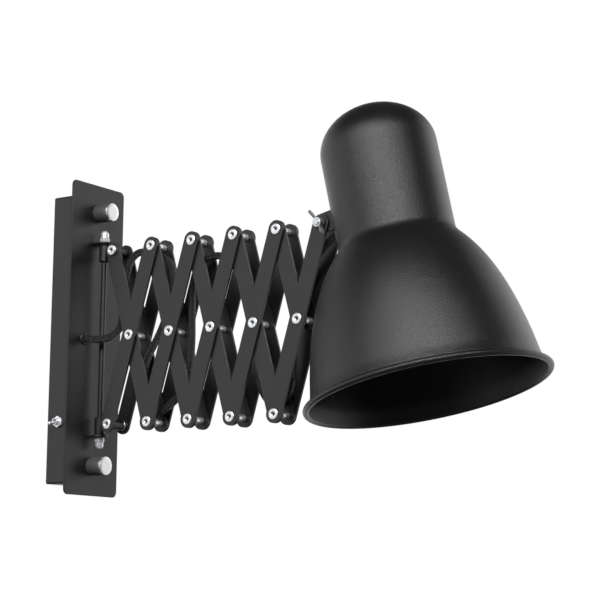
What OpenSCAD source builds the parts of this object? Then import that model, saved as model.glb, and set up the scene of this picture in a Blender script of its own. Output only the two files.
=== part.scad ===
// Accordion wall lamp: a wall box with a pivot rod, a double scissor arm and a tilting bell shade.
// The wall is the plane y = 0, the arm reaches out along -y, and z is up.
// The origin is the middle of the face plate, carried back to the wall.

/* [Wall box] */
// Width of the sheet-steel box
box_w = 70; // [60:1:90]
// How far the box reaches past the middle of a cap nut
box_end = 14; // [11:0.5:20]
// Depth of the box from the wall to its front
box_d = 20; // [18:0.5:30]
// Sheet thickness of the box
box_wall = 1.2; // [1:0.1:1.5]
// How far the box's middle lies below the plate's middle
box_drop = 3; // [0:0.5:5]
// Width of the lip that is folded in round the box's front
box_lip = 7; // [5:0.5:8]

/* [Face plate] */
// How far the face plate reaches past the box at either side
plate_side = 0; // [0:0.5:5]
// How far the face plate reaches past the middle of a cap nut
plate_end = 26; // [20:1:40]
// Thickness of the face plate
plate_t = 1.5; // [1:0.1:2]
// Corner radius of the face plate
plate_corner = 5; // [2:0.5:8]

/* [Cap nuts and wall bracket] */
// Gap between an acorn nut of the pivot rod and the cap nut beyond it
cap_gap = 8.25; // [6:0.25:14]
// Diameter of a cap nut
cap_d = 16.5; // [14:0.5:18]
// Length of a cap nut with its bright face
cap_len = 17; // [15:0.5:20]
// Diameter of the bright face
cap_face_d = 15.3; // [12:0.1:15.5]
// Thickness of the bright face
cap_face_t = 0.8; // [0.5:0.1:1]
// Diameter of the studs that the cap nuts hold
stud_d = 5; // [4:0.5:5]
// Width of the flat wall bracket
bracket_w = 26; // [24:1:30]
// How far the flat wall bracket reaches past a stud's middle
bracket_end = 6; // [5:0.5:9]
// Thickness of the flat wall bracket
bracket_t = 2; // [1.5:0.1:3]
// Distance between the two wall screw holes
wall_hole_pitch = 120; // [80:1:140]
// Diameter of the wall screw holes
wall_hole_d = 5.2; // [4.5:0.1:6]
// Diameter of the hole for the supply cable
supply_hole_d = 14; // [10:1:16]
// Height of the supply cable's hole
supply_hole_z = 26; // [20:1:40]

/* [Pivot rod] */
// Diameter of the vertical pivot rod
rod_d = 5; // [4:0.5:6]
// Distance from the plate's face to the rod's axis
rod_gap = 8.5; // [8:0.5:12]
// Width of the ears that hold the rod
ear_w = 15; // [14:1:18]
// Thickness of an ear
ear_t = 1.5; // [1:0.1:2]
// Height of an ear's foot behind the plate
ear_foot = 12; // [8:1:14]
// Diameter of the washers between ears and sleeves
washer_d = 11; // [10:0.5:12]
// Thickness of those washers
washer_t = 1.2; // [0.8:0.1:1.5]
// Outer diameter of the two sleeves and of their cross barrels
sleeve_d = 9.5; // [8.5:0.1:10.5]
// Height of a sleeve
sleeve_h = 14.5; // [13:0.5:16]
// Distance from the rod's axis to the first pivots
first_pivot = 17.8; // [16:0.1:20]

/* [Scissor arm] */
// Distance between the end pivots of a link
link_pitch = 161; // [150:1:175]
// Width of a link
link_w = 15; // [13:0.5:16]
// Thickness of a link
link_t = 2; // [1.5:0.1:2.5]
// Angle of the links from the vertical in this pose
link_angle = 16.1; // [15:0.1:30]
// Height of the middle pivots
arm_z = -1; // [-2:0.5:2]
// Length of the spacer tubes between the two scissors
spacer_len = 14.8; // [14:0.2:20]
// Diameter of the spacer tubes
spacer_d = 6.5; // [6:0.1:7]
// Diameter of a rivet's shank
rivet_d = 5; // [4.5:0.1:5.2]
// Bore through a rivet
rivet_bore = 2.6; // [2:0.1:3]
// Diameter of a rivet's head
rivet_head_d = 8.8; // [8:0.1:9.5]
// Height of a rivet's head
rivet_head_t = 0.9; // [0.6:0.1:1.2]

/* [Head bracket] */
// Distance from the tilt bolt to the neck of the shade
tilt_gap = 12.6; // [12.5:0.1:14]
// Thickness of the bracket's sheet
yoke_t = 2; // [1.5:0.1:2]
// Height of the bracket's two cheeks
yoke_cheek_h = 16.6; // [14:0.2:18]
// How far the saddle reaches above the tilt bolt
yoke_top = 12.4; // [12:0.1:15]
// How far the saddle reaches below the tilt bolt
yoke_bottom = 24; // [23.5:0.5:28]
// Diameter of the tilt bolt
bolt_d = 5; // [4.5:0.1:5.2]
// Width across the flats of the bolt's head
bolt_af = 8; // [7:0.5:9]
// Height of the bolt's head
bolt_head_t = 3.5; // [3:0.1:4]
// Diameter of the tilt washers
tilt_washer_d = 10.5; // [9:0.5:12]
// Thickness of the tilt washers
tilt_washer_t = 1; // [0.6:0.1:1.2]
// Diameter of the wing nut's hub at its foot
wing_hub_d = 8.6; // [8:0.1:9.5]
// Length of the wing nut's hub
wing_hub_len = 4.6; // [4:0.1:6]
// Reach of a wing from the bolt's axis
wing_reach = 12; // [10:0.5:13]
// Thickness of a wing
wing_t = 1.6; // [1.2:0.1:2]
// Turn of the wings from upright, the upper one towards the wall
wing_turn = 34; // [0:1:90]

/* [Shade] */
// Outer diameter over the rolled rim
shade_d = 200; // [180:1:210]
// Height of the whole shade
shade_h = 245; // [240:1:255]
// Outer radius of the neck
neck_r = 48; // [44:0.5:50]
// Height of the crease between bell and neck above the rim
crease_h = 126; // [115:1:130]
// Height of the domed top
dome_h = 38.5; // [30:0.5:42]
// Height of the tilt bolt above the rim, along the shade's axis
bolt_h = 162.8; // [158:0.2:168]
// Outward lean of the shade's mouth
shade_tilt = 13.1; // [8:0.1:25]
// Sheet thickness of the shade
shade_t = 1; // [0.8:0.1:1.2]
// Diameter of the rolled rim's bead
bead_d = 5.2; // [4:0.2:6]
// Radius of the bell where it starts to flare into the rim
flare_r = 91.9; // [85:0.1:93]
// Height at which the bell starts to flare into the rim
flare_h = 15; // [12:0.5:18]

/* [Lamp holder] */
// Diameter of the lamp holder
holder_d = 38; // [36:1:40]
// Height of the lamp holder
holder_h = 56; // [50:1:60]
// Bore of the holder's threaded shell
thread_bore = 26.4; // [26:0.1:27]
// Width of the strap that carries the holder
strap_w = 14; // [12:0.5:15]
// Thickness of the strap
strap_t = 1.5; // [1.2:0.1:2]
// Height of the strap's arm above the tilt bolt
strap_arm_z = 44; // [40:0.5:46]
// Diameter of the hollow nipple
nipple_d = 10; // [9:0.5:10]
// Diameter of the small screws
screw_d = 3; // [2.5:0.1:3.2]

/* [Switch] */
// Height of the toggle switch
switch_z = -77; // [-90:1:-60]
// Distance of the switch's axis from the wall
switch_out = 12.5; // [11:0.5:14]
// Diameter of the switch's threaded bush
switch_bush_d = 6; // [5.5:0.1:6.5]
// Width across the flats of the switch's nut
switch_nut_af = 9; // [8:0.5:10]
// Length of the lever outside its pivot
lever_len = 12.2; // [10:0.1:14]
// Lean of the lever from the level in this pose
lever_lean = 12; // [8:1:14]

/* [Cable] */
// Diameter of the braided cable
cable_d = 6.5; // [5:0.1:6.5]

/* [Hidden] */
$fn = 48;
cells = 5;

// Clearances
cut = 1;          // overrun of every cut
run_fit = 0.05;   // radial clearance of a pin in its bore
layer_gap = 0.1;  // gap between parts that turn on each other
slot_fit = 0.1;   // gap round an ear in its slot
hole_fit = 0.2;   // radial clearance of a fixing hole
seat_fit = 0.1;   // gap between the strap and the neck's inside

// Depths along y, all negative
plate_back = -box_d;
plate_face = plate_back - plate_t;
rod_y = plate_face - rod_gap;

// Scissor geometry
link_rise = link_pitch * cos(link_angle);
link_step = link_pitch * sin(link_angle);
top_z = arm_z + link_rise / 2;
low_z = arm_z - link_rise / 2;
function pivot_y(i) = rod_y - first_pivot - i * link_step;
inner_x = spacer_len / 2 + layer_gap;
outer_x = inner_x + link_t + layer_gap;
rivet_x = outer_x + link_t + layer_gap;
sleeve_play = 0.2;
ear_reach = sleeve_h / 2 + sleeve_play + washer_t;
top_ear_z = top_z + ear_reach;
low_ear_z = low_z - ear_reach;

// Shade and head frame: its origin is the tilt bolt, its z is the shade's axis, and the shade lies on -y
head_y = pivot_y(cells);
axis_y = -(tilt_gap + neck_r);
rim_z = -bolt_h;
shade_r = shade_d / 2;

// Heights on the wall side, which follow from the arm
acorn_h = 10;
cap_pitch = link_rise + 2 * (ear_reach + ear_t + acorn_h + cap_gap) + cap_d;
plate_w = box_w + 2 * plate_side;
plate_h = cap_pitch + 2 * plate_end;
box_h = cap_pitch + 2 * box_end;
bracket_len = cap_pitch + 2 * bracket_end;

// Small sizes of the box and its fittings
box_corner = 2;
stud_reach = 12;
cap_chamfer = 0.7;
grommet_x = -14.5;
grommet_z = -1.5;
grommet_d = 11.5;
grommet_lip = 1.6;
grommet_tube = 8.4;
grommet_back = 1.5;
acorn_af = 8;
acorn_hex_h = 4;
acorn_dome_d = 7.4;
rod_tip = 7.5;
web_w = 7;
web_h = 7;
block_w = 32;
block_h = 18;
block_d = 11;
block_z = 62;
block_poles = 3;
block_pole_pitch = 10;
block_screw_d = 3.4;
block_screw_row = 9;
block_screw_h = 2;
block_wire_d = 3;
switch_body_w = 8;
switch_body_h = 13;
switch_body_len = 10;
switch_bush_len = 5.4;
switch_nut_t = 2;
switch_bore_d = 4.6;
lever_d = 2.4;
lever_tip_d = 3.4;
lever_ball_d = 4;
lever_pivot_in = 1.4;

// Small sizes of the arm and the head
funnel_d = 4.6;
funnel_depth = 0.7;
rivet_edge = 0.35;
head_chamfer = 0.5;
bolt_past_nut = 1.2;
wing_tip_r = 1.5;
wing_inset = 0.7;
wing_rise = 3;
wing_taper = 0.8;
screw_head_d = 5.5;
screw_head_t = 2;
screw_nut_af = 5.5;
screw_nut_t = 2.4;
screw_tip = 0.8;
top_screw_z = 9;
low_screw_z = -19.5;
cable_hole_z = -11.5;
bush_d = 8.4;
bush_collar_d = 9.6;
bush_collar_t = 1.5;
bush_tail = 1;
bush_fit = 0.25;
strap_bottom = -23.5;
strap_end = 12;
strap_pass_d = 11;
holder_top_d = 26;
holder_shoulder_h = 14;
holder_wall = 2.4;
holder_floor = 20;
thread_wall = 0.6;
thread_h = 26;
nipple_in = 6;
nipple_out = 6;
nipple_bore = 7;
nipple_nut_af = 14;
nipple_nut_t = 3;

// Shares that shape the bell's curve: the handles' lengths as shares of the bell's height, and their angles
bell_top_angle = 44.4;
bell_top_share = 0.322;
bell_low_angle = 8.5;
bell_low_share = 0.376;
bell_steps = 20;
dome_steps = 12;
shade_facets = 96;
flare_mid_shares = [0.35, 0.5];

/* Colours */
black = [0.06, 0.06, 0.065];
soft_black = [0.09, 0.09, 0.095];
zinc = [0.72, 0.73, 0.75];
chrome = [0.85, 0.86, 0.88];
white = [0.9, 0.9, 0.88];
brass = [0.78, 0.62, 0.32];

// Helpers
module along_x(y, z) { translate([0, y, z]) rotate([0, 90, 0]) children(); }
module along_y(x, z) { translate([x, 0, z]) rotate([90, 0, 0]) children(); }
module both_sides() { children(); mirror([1, 0, 0]) children(); }
module head_frame() { translate([0, head_y, top_z]) rotate([-shade_tilt, 0, 0]) children(); }
module tube(d, bore, h) {
    difference() {
        cylinder(d = d, h = h);
        translate([0, 0, -cut]) cylinder(d = bore, h = h + 2 * cut);
    }
}
module hex(af, h) { cylinder(d = af / cos(30), h = h, $fn = 6); }
module rounded_slab(w, h, t, r) {
    linear_extrude(t) union() {
        square([w - 2 * r, h], center = true);
        square([w, h - 2 * r], center = true);
        for (sx = [-1, 1], sz = [-1, 1]) translate([sx * (w / 2 - r), sz * (h / 2 - r)]) circle(r);
    }
}
// A flat slab that stands in the x-z plane, with its back at y = back and its face at y = back - t
module upright_slab(w, h, t, r, back) {
    translate([0, back, 0]) rotate([90, 0, 0]) rounded_slab(w, h, t, r);
}

// Wall bracket and box
module wall_bracket() {
    color(zinc) difference() {
        upright_slab(bracket_w, bracket_len, bracket_t, box_corner, 0);
        for (s = [-1, 1]) along_y(0, s * wall_hole_pitch / 2)
            translate([0, 0, -cut]) cylinder(d = wall_hole_d, h = bracket_t + 2 * cut);
        along_y(0, supply_hole_z) translate([0, 0, -cut])
            cylinder(d = supply_hole_d, h = bracket_t + 2 * cut);
    }
}
module bracket_studs() {
    color(zinc) for (s = [-1, 1]) along_y(0, s * cap_pitch / 2)
        translate([0, 0, bracket_t]) cylinder(d = stud_d, h = -plate_face - bracket_t + stud_reach);
}
module wall_box() {
    color(soft_black) translate([0, 0, -box_drop]) difference() {
        upright_slab(box_w, box_h, box_d, box_corner, 0);
        translate([0, cut, 0]) upright_slab(box_w - 2 * box_wall, box_h - 2 * box_wall,
            box_d - box_wall + cut, box_corner / 2, 0);
        upright_slab(box_w - 2 * box_lip, box_h - 2 * box_lip, box_d + cut, box_corner, 0);
        translate([0, -switch_out, switch_z + box_drop]) rotate([0, -90, 0])
            cylinder(d = switch_bush_d + 2 * hole_fit, h = box_w);
    }
}
module face_plate() {
    color(soft_black) difference() {
        upright_slab(plate_w, plate_h, plate_t, plate_corner, plate_back);
        for (s = [-1, 1]) translate([0, plate_back + cut, s * cap_pitch / 2]) rotate([90, 0, 0])
            cylinder(d = stud_d + 2 * hole_fit, h = plate_t + 2 * cut);
        translate([grommet_x, plate_back + cut, grommet_z]) rotate([90, 0, 0])
            cylinder(d = grommet_tube, h = plate_t + 2 * cut);
        for (z = [top_ear_z + ear_t / 2, low_ear_z - ear_t / 2])
            translate([-ear_w / 2 - slot_fit, plate_face - cut, z - ear_t / 2 - slot_fit])
                cube([ear_w + 2 * slot_fit, plate_t + 2 * cut, ear_t + 2 * slot_fit]);
    }
}
// One ear, seen from its inner face at z = 0, with its foot turned away from the arm
module ear() {
    difference() {
        union() {
            translate([-ear_w / 2, rod_y, 0]) cube([ear_w, plate_back + ear_t - rod_y, ear_t]);
            translate([0, rod_y, 0]) cylinder(d = ear_w, h = ear_t);
            translate([-ear_w / 2, plate_back, 0]) cube([ear_w, ear_t, ear_foot]);
        }
        translate([0, rod_y, -cut]) cylinder(d = rod_d + 2 * run_fit, h = ear_t + 2 * cut);
    }
}
module rod_ears() {
    color(soft_black) {
        translate([0, 0, top_ear_z]) ear();
        translate([0, 0, low_ear_z]) mirror([0, 0, 1]) ear();
    }
}
module pivot_rod() {
    color(soft_black) translate([0, rod_y, low_ear_z - ear_t - rod_tip])
        cylinder(d = rod_d, h = top_ear_z - low_ear_z + 2 * (ear_t + rod_tip));
}
module acorn_nut() {
    difference() {
        union() {
            hex(acorn_af, acorn_hex_h);
            cylinder(d = acorn_dome_d, h = acorn_h - acorn_dome_d / 2);
            translate([0, 0, acorn_h - acorn_dome_d / 2]) sphere(d = acorn_dome_d);
        }
        translate([0, 0, -cut]) cylinder(d = rod_d + 2 * run_fit, h = rod_tip + run_fit + cut);
    }
}
module acorn_nuts() {
    color(chrome) {
        translate([0, rod_y, top_ear_z + ear_t]) acorn_nut();
        translate([0, rod_y, low_ear_z - ear_t]) mirror([0, 0, 1]) acorn_nut();
    }
}
module rod_washers() {
    color(black) for (z = [top_ear_z - washer_t, low_ear_z])
        translate([0, rod_y, z]) tube(washer_d, rod_d + 2 * hole_fit, washer_t);
}
module cap_nuts() {
    barrel_len = cap_len - cap_face_t;
    color(black) for (s = [-1, 1]) translate([0, plate_face, s * cap_pitch / 2]) rotate([90, 0, 0])
        difference() {
            union() {
                cylinder(d1 = cap_d - 2 * cap_chamfer, d2 = cap_d, h = cap_chamfer);
                translate([0, 0, cap_chamfer]) cylinder(d = cap_d, h = barrel_len - 2 * cap_chamfer);
                translate([0, 0, barrel_len - cap_chamfer])
                    cylinder(d1 = cap_d, d2 = cap_d - 2 * cap_chamfer + layer_gap, h = cap_chamfer);
            }
            translate([0, 0, -cut]) cylinder(d = stud_d + 2 * run_fit, h = stud_reach + run_fit + cut);
        }
}
module cap_faces() {
    color(chrome) for (s = [-1, 1])
        translate([0, plate_face - cap_len + cap_face_t, s * cap_pitch / 2]) rotate([90, 0, 0]) {
            cylinder(d = cap_face_d, h = cap_face_t / 2);
            translate([0, 0, cap_face_t / 2])
                cylinder(d1 = cap_face_d, d2 = cap_face_d - cap_face_t, h = cap_face_t / 2);
        }
}
module cable_grommet() {
    lip_edge = grommet_lip / 2;
    color(black) translate([grommet_x, 0, grommet_z]) rotate([90, 0, 0]) difference() {
        union() {
            translate([0, 0, -plate_face]) cylinder(d = grommet_d, h = grommet_lip - lip_edge);
            translate([0, 0, -plate_face + grommet_lip - lip_edge])
                cylinder(d1 = grommet_d, d2 = grommet_d - 2 * lip_edge, h = lip_edge);
            translate([0, 0, -plate_back]) cylinder(d = grommet_tube - run_fit, h = plate_t + grommet_lip);
            translate([0, 0, -plate_back - grommet_back]) cylinder(d = grommet_d, h = grommet_back);
        }
        translate([0, 0, -plate_back - grommet_back - cut])
            cylinder(d = cable_d + 2 * bush_fit, h = grommet_back + plate_t + grommet_lip + 2 * cut);
    }
}
module terminal_block() {
    poles = [for (i = [0:block_poles - 1]) (i - (block_poles - 1) / 2) * block_pole_pitch];
    color(white) difference() {
        translate([-block_w / 2, plate_back, block_z - block_h / 2]) cube([block_w, block_d, block_h]);
        for (x = poles, s = [-1, 1])
            translate([x, plate_back + block_d + cut, block_z + s * block_screw_row / 2])
                rotate([90, 0, 0]) cylinder(d = block_screw_d + 2 * run_fit, h = block_screw_h + 2 * cut);
        for (x = poles) translate([x, plate_back + block_d / 2, block_z - block_h / 2 - cut])
            cylinder(d = block_wire_d, h = block_h + 2 * cut);
    }
}
module terminal_screws() {
    poles = [for (i = [0:block_poles - 1]) (i - (block_poles - 1) / 2) * block_pole_pitch];
    color(brass) for (x = poles, s = [-1, 1])
        translate([x, plate_back + block_d, block_z + s * block_screw_row / 2]) rotate([90, 0, 0])
            cylinder(d = block_screw_d, h = block_screw_h + cut);
}

// Toggle switch, built along +z and then turned to point along -x
module switch_place() { translate([-box_w / 2, -switch_out, switch_z]) rotate([0, -90, 0]) children(); }
module switch_body() {
    color(black) switch_place()
        translate([-switch_body_h / 2, -switch_body_w / 2, -box_wall - switch_body_len])
            cube([switch_body_h, switch_body_w, switch_body_len]);
}
module switch_bush() {
    color(chrome) switch_place() translate([0, 0, -box_wall])
        tube(switch_bush_d, switch_bore_d, box_wall + switch_bush_len);
}
module switch_nut() {
    color(chrome) switch_place() difference() {
        hex(switch_nut_af, switch_nut_t);
        translate([0, 0, -cut]) cylinder(d = switch_bush_d + 2 * run_fit, h = switch_nut_t + 2 * cut);
    }
}
module switch_lever() {
    color(chrome) switch_place() translate([0, 0, lever_pivot_in]) rotate([0, -lever_lean, 0]) {
        sphere(d = lever_ball_d);
        cylinder(d = lever_d, h = lever_len / 2);
        translate([0, 0, lever_len / 2])
            cylinder(d1 = lever_d, d2 = lever_tip_d, h = lever_len / 2 - lever_tip_d / 2);
        translate([0, 0, lever_len - lever_tip_d / 2]) sphere(d = lever_tip_d);
    }
}

// Sleeves on the rod, each with a cross barrel for the first pivot
module sleeve(z) {
    translate([0, 0, z]) difference() {
        union() {
            translate([0, rod_y, -sleeve_h / 2]) cylinder(d = sleeve_d, h = sleeve_h);
            translate([-web_w / 2, rod_y - first_pivot, -web_h / 2]) cube([web_w, first_pivot, web_h]);
            translate([-spacer_len / 2, rod_y - first_pivot, 0]) rotate([0, 90, 0])
                cylinder(d = sleeve_d, h = spacer_len);
        }
        translate([0, rod_y, -sleeve_h / 2 - cut]) cylinder(d = rod_d + 2 * run_fit, h = sleeve_h + 2 * cut);
        translate([-spacer_len / 2 - cut, rod_y - first_pivot, 0]) rotate([0, 90, 0])
            cylinder(d = rivet_d + 2 * run_fit, h = spacer_len + 2 * cut);
    }
}
module lower_sleeve() { color(soft_black) sleeve(low_z); }
module upper_sleeve() { color(soft_black) sleeve(top_z); }

// One end of a hollow rivet, from the arm's middle out along +x
module half_rivet() {
    rotate([0, 90, 0]) difference() {
        union() {
            cylinder(d = rivet_d, h = rivet_x);
            translate([0, 0, rivet_x]) cylinder(d = rivet_head_d, h = rivet_head_t - rivet_edge);
            translate([0, 0, rivet_x + rivet_head_t - rivet_edge])
                cylinder(d1 = rivet_head_d, d2 = rivet_head_d - 2 * rivet_edge, h = rivet_edge);
        }
        translate([0, 0, -cut]) cylinder(d = rivet_bore, h = rivet_x + rivet_head_t + 2 * cut);
        translate([0, 0, rivet_x + rivet_head_t - funnel_depth])
            cylinder(d1 = rivet_bore, d2 = funnel_d, h = funnel_depth);
    }
}
module rivet(y, z) { translate([0, y, z]) both_sides() half_rivet(); }
module spacer(y, z) {
    translate([-spacer_len / 2, y, z]) rotate([0, 90, 0]) tube(spacer_d, rivet_d + 2 * run_fit, spacer_len);
}
// Packing washers that fill the layer where only one link sits on a rivet
module packing(y, z, x) {
    translate([0, y, z]) both_sides() translate([x, 0, 0]) rotate([0, 90, 0])
        tube(rivet_head_d, rivet_d + 2 * run_fit, link_t);
}
module bottom_rivet() {
    color(chrome) {
        rivet(pivot_y(0), low_z);
        packing(pivot_y(0), low_z, inner_x);
    }
}
module top_rivet() {
    color(chrome) {
        rivet(pivot_y(0), top_z);
        packing(pivot_y(0), top_z, outer_x);
    }
}

// A flat link in its own frame: pivots at the heights given, along +z, and its thickness along +x
module link_bar(length, pivots) {
    rotate([0, 90, 0]) rotate([0, 0, 90]) difference() {
        linear_extrude(link_t) union() {
            translate([-link_w / 2, 0]) square([link_w, length]);
            for (s = [0, length]) translate([0, s]) circle(d = link_w);
        }
        for (s = pivots) translate([0, s, -cut]) cylinder(d = rivet_d + 2 * run_fit, h = link_t + 2 * cut);
    }
}
// Rising link i runs from the low pivot i to the top pivot i + 1, on the outside of each scissor
module rise_bar(i) {
    translate([outer_x, pivot_y(i), low_z]) rotate([link_angle, 0, 0])
        link_bar(link_pitch, [0, link_pitch / 2, link_pitch]);
}
// Falling link i runs from the top pivot i to the low pivot i + 1, inside the rising links
module fall_bar(i) {
    last = i == cells - 1;
    if (last) translate([inner_x, pivot_y(i + 0.5), arm_z]) rotate([-link_angle, 0, 0])
        link_bar(link_pitch / 2, [0, link_pitch / 2]);
    else translate([inner_x, pivot_y(i + 1), low_z]) rotate([-link_angle, 0, 0])
        link_bar(link_pitch, [0, link_pitch / 2, link_pitch]);
}
module rise_front(i) { color(soft_black) mirror([1, 0, 0]) rise_bar(i); }
module rise_rear(i) { color(soft_black) rise_bar(i); }
module fall_front(i) { color(soft_black) mirror([1, 0, 0]) fall_bar(i); }
module fall_rear(i) { color(soft_black) fall_bar(i); }
// The rivets and spacer tubes that falling link i carries: at its top, its middle and its foot
module fall_pins(i) {
    tops = i == 0 ? [] : [[pivot_y(i), top_z]];
    feet = i == cells - 1 ? [] : [[pivot_y(i + 1), low_z]];
    color(chrome) for (p = concat(tops, [[pivot_y(i + 0.5), arm_z]], feet)) {
        rivet(p[0], p[1]);
        spacer(p[0], p[1]);
    }
}

// The shade's outline: r over height above the rim
function bezier(p, s) = pow(1 - s, 3) * p[0] + 3 * pow(1 - s, 2) * s * p[1]
    + 3 * (1 - s) * s * s * p[2] + pow(s, 3) * p[3];
function shade_outline(inset) =
    let (
        span = crease_h - flare_h,
        top = [neck_r, crease_h],
        low = [flare_r, flare_h],
        hook_r = shade_r - bead_d + shade_t,
        bell = [top, top + span * bell_top_share * [cos(bell_top_angle), -sin(bell_top_angle)],
                low + span * bell_low_share * [-sin(bell_low_angle), cos(bell_low_angle)], low],
        path = concat(
            [for (i = [0:dome_steps - 1]) let (a = 90 - 90 * i / dome_steps)
                [neck_r * cos(a), shade_h - dome_h + dome_h * sin(a)]],
            [[neck_r, shade_h - dome_h]],
            [for (i = [0:bell_steps]) bezier(bell, i / bell_steps)],
            [[flare_r + (hook_r - flare_r) * flare_mid_shares[0],
              bead_d + (flare_h - bead_d) * flare_mid_shares[1]],
             [hook_r, bead_d / 2]]),
        n = len(path)
    )
    [for (i = [0:n - 1]) let (
        a = path[max(i - 1, 0)], b = path[min(i + 1, n - 1)], d = (b - a) / norm(b - a),
        p = path[i] + inset * [d[1], -d[0]])
        [i == 0 ? 0 : max(p[0], 0), p[1]]];
module shade() {
    outer = shade_outline(0);
    inner = shade_outline(shade_t);
    color(soft_black) head_frame() difference() {
        translate([0, axis_y, rim_z]) union() {
            rotate_extrude($fn = shade_facets)
                polygon(concat(outer, [for (i = [len(inner) - 1:-1:0]) inner[i]]));
            rotate_extrude($fn = shade_facets)
                translate([shade_r - bead_d / 2, bead_d / 2]) circle(d = bead_d);
        }
        for (z = [top_screw_z, low_screw_z]) translate([0, axis_y / 2, z]) rotate([-90, 0, 0])
            cylinder(d = screw_d + 2 * hole_fit, h = -axis_y);
        translate([0, axis_y / 2, cable_hole_z]) rotate([-90, 0, 0])
            cylinder(d = bush_d + 2 * run_fit, h = -axis_y);
    }
}

// Bracket between the arm and the neck: a saddle on the neck and two cheeks on the bolt
module head_bracket() {
    cheek_in = inner_x;
    saddle_y = -tilt_gap + yoke_t;
    color(soft_black) head_frame() difference() {
        union() {
            intersection() {
                translate([0, axis_y, -yoke_bottom])
                    tube(2 * (neck_r + yoke_t), 2 * neck_r, yoke_bottom + yoke_top);
                translate([-cheek_in - link_t, axis_y / 2, -yoke_bottom])
                    cube([2 * (cheek_in + link_t), -axis_y, yoke_bottom + yoke_top]);
            }
            both_sides() translate([cheek_in, 0, 0]) rotate([0, 90, 0])
                cylinder(d = yoke_cheek_h, h = link_t);
            both_sides() translate([cheek_in, saddle_y - yoke_t / 2, -yoke_cheek_h / 2])
                cube([link_t, -saddle_y + yoke_t / 2, yoke_cheek_h]);
        }
        rotate([0, 90, 0]) translate([0, 0, -cheek_in - link_t - cut])
            cylinder(d = bolt_d + 2 * run_fit, h = 2 * (cheek_in + link_t + cut));
        for (z = [top_screw_z, low_screw_z]) translate([0, axis_y / 2, z]) rotate([-90, 0, 0])
            cylinder(d = screw_d + 2 * hole_fit, h = -axis_y);
        translate([0, axis_y / 2, cable_hole_z]) rotate([-90, 0, 0])
            cylinder(d = bush_d + 2 * run_fit, h = -axis_y);
    }
}
front_x = rivet_x + tilt_washer_t;
module tilt_bolt() {
    color(zinc) head_frame() rotate([0, 90, 0]) {
        translate([0, 0, -front_x - wing_hub_len - bolt_past_nut])
            cylinder(d = bolt_d, h = 2 * front_x + wing_hub_len + bolt_past_nut);
        translate([0, 0, front_x]) hex(bolt_af, bolt_head_t);
    }
}
module tilt_washers() {
    color(black) head_frame() both_sides() translate([rivet_x, 0, 0]) rotate([0, 90, 0])
        tube(tilt_washer_d, bolt_d + 2 * run_fit, tilt_washer_t);
}
// Wing nut in its own frame: its foot at z = 0, wings to either side along x
module wing_outline() {
    top = wing_rise + wing_hub_len;
    polygon([[0, wing_inset], [wing_hub_d / 2, wing_inset], [wing_reach - wing_tip_r, wing_rise],
             [wing_reach, wing_rise + wing_tip_r], [wing_reach, top - wing_tip_r],
             [wing_reach - wing_tip_r, top], [wing_hub_d / 2, wing_hub_len - wing_inset],
             [0, wing_hub_len - wing_inset]]);
}
module wing_nut() {
    color(zinc) translate([-front_x, head_y, top_z]) rotate([-wing_turn, 0, 0]) rotate([0, -90, 0])
        difference() {
        union() {
            cylinder(d1 = wing_hub_d, d2 = wing_hub_d - wing_taper, h = wing_hub_len);
            translate([0, wing_t / 2, 0]) rotate([90, 0, 0]) linear_extrude(wing_t) union() {
                wing_outline();
                mirror([1, 0]) wing_outline();
            }
        }
        translate([0, 0, -cut]) cylinder(d = bolt_d + 2 * run_fit, h = 2 * wing_hub_len + cut);
    }
}

// Inside the shade: strap, lamp holder and fixings
neck_in = neck_r - shade_t;
strap_y = axis_y + sqrt(neck_in * neck_in - strap_w * strap_w / 4) - seat_fit;
module holder_strap() {
    color(zinc) head_frame() difference() {
        union() {
            translate([-strap_w / 2, strap_y - strap_t, strap_bottom])
                cube([strap_w, strap_t, strap_arm_z + strap_t - strap_bottom]);
            translate([-strap_w / 2, axis_y - strap_end, strap_arm_z])
                cube([strap_w, strap_y - axis_y + strap_end, strap_t]);
        }
        translate([0, axis_y, strap_arm_z - cut])
            cylinder(d = nipple_d + 2 * hole_fit, h = strap_t + 2 * cut);
        for (z = [top_screw_z, low_screw_z]) translate([0, strap_y - strap_t - cut, z])
            rotate([-90, 0, 0]) cylinder(d = screw_d + 2 * hole_fit, h = strap_t + 2 * cut);
        translate([0, strap_y - strap_t - cut, cable_hole_z]) rotate([-90, 0, 0])
            cylinder(d = strap_pass_d, h = strap_t + 2 * cut);
    }
}
module holder_body() {
    r = holder_d / 2;
    rt = holder_top_d / 2;
    color(white) head_frame() translate([0, axis_y, strap_arm_z - holder_h]) rotate_extrude() polygon([
        [r - holder_wall, 0], [r, 0], [r, holder_h - holder_shoulder_h], [rt, holder_h],
        [nipple_d / 2, holder_h], [nipple_d / 2, holder_h - nipple_in], [0, holder_h - nipple_in],
        [0, holder_h - holder_floor],
        [r - holder_wall, holder_h - holder_floor]]);
}
module holder_thread() {
    color(brass) head_frame()
        translate([0, axis_y, strap_arm_z - holder_floor - thread_h])
            tube(thread_bore + 2 * thread_wall, thread_bore, thread_h);
}
module holder_nipple() {
    color(zinc) head_frame() translate([0, axis_y, strap_arm_z]) {
        translate([0, 0, -nipple_in]) tube(nipple_d - run_fit, nipple_bore, nipple_in + strap_t + nipple_out);
        translate([0, 0, strap_t]) difference() {
            hex(nipple_nut_af, nipple_nut_t);
            translate([0, 0, -cut]) cylinder(d = nipple_d - run_fit, h = nipple_nut_t + 2 * cut);
        }
    }
}
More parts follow.
